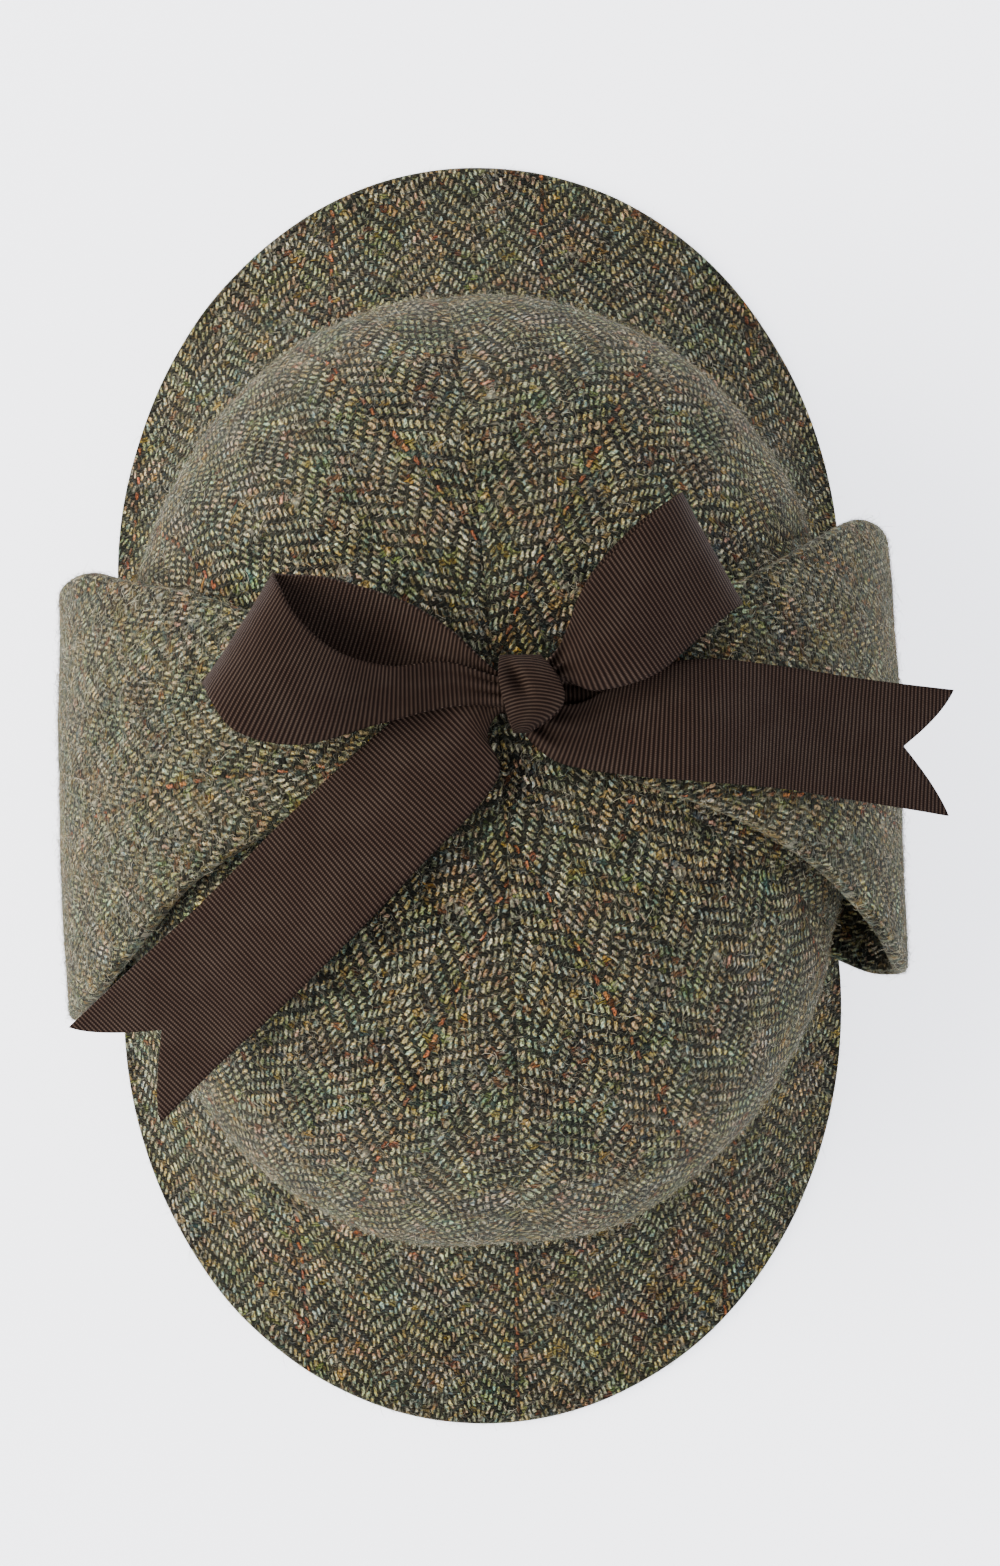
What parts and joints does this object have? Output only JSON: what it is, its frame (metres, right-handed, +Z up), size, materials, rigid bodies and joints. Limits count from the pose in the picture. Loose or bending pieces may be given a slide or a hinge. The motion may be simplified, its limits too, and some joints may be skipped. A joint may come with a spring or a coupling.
{
  "type": "deerstalker hat",
  "caption": "Tweed deerstalker hat with a peak at the front and back and ear flaps tied up over the crown with a ribbon bow.",
  "frame": {"origin": "on the surface that the hat stands on, under the middle of its whole outline", "axes": "+Z up, +Y along the hat towards its back peak, +X towards the wearer's left ear flap as worn facing -Y"},
  "size_m": [0.2029, 0.3026, 0.1557],
  "materials": {
    "tweed": "herringbone wool tweed",
    "ribbon": "matt grosgrain ribbon"
  },
  "bodies": {
    "root": {"crown_gore_front_left": "tweed", "crown_gore_front_right": "tweed", "crown_gore_side_left": "tweed", "crown_gore_side_right": "tweed", "crown_gore_back_left": "tweed", "crown_gore_back_right": "tweed", "front_peak": "tweed", "back_peak": "tweed", "ear_flap_left": "tweed", "ear_flap_right": "tweed", "flap_tie_left": "ribbon", "flap_tie_right": "ribbon", "bow_knot": "ribbon", "bow_loop_left": "ribbon", "bow_loop_right": "ribbon", "ribbon_tail_left": "ribbon", "ribbon_tail_right": "ribbon"}
  },
  "joints": []
}
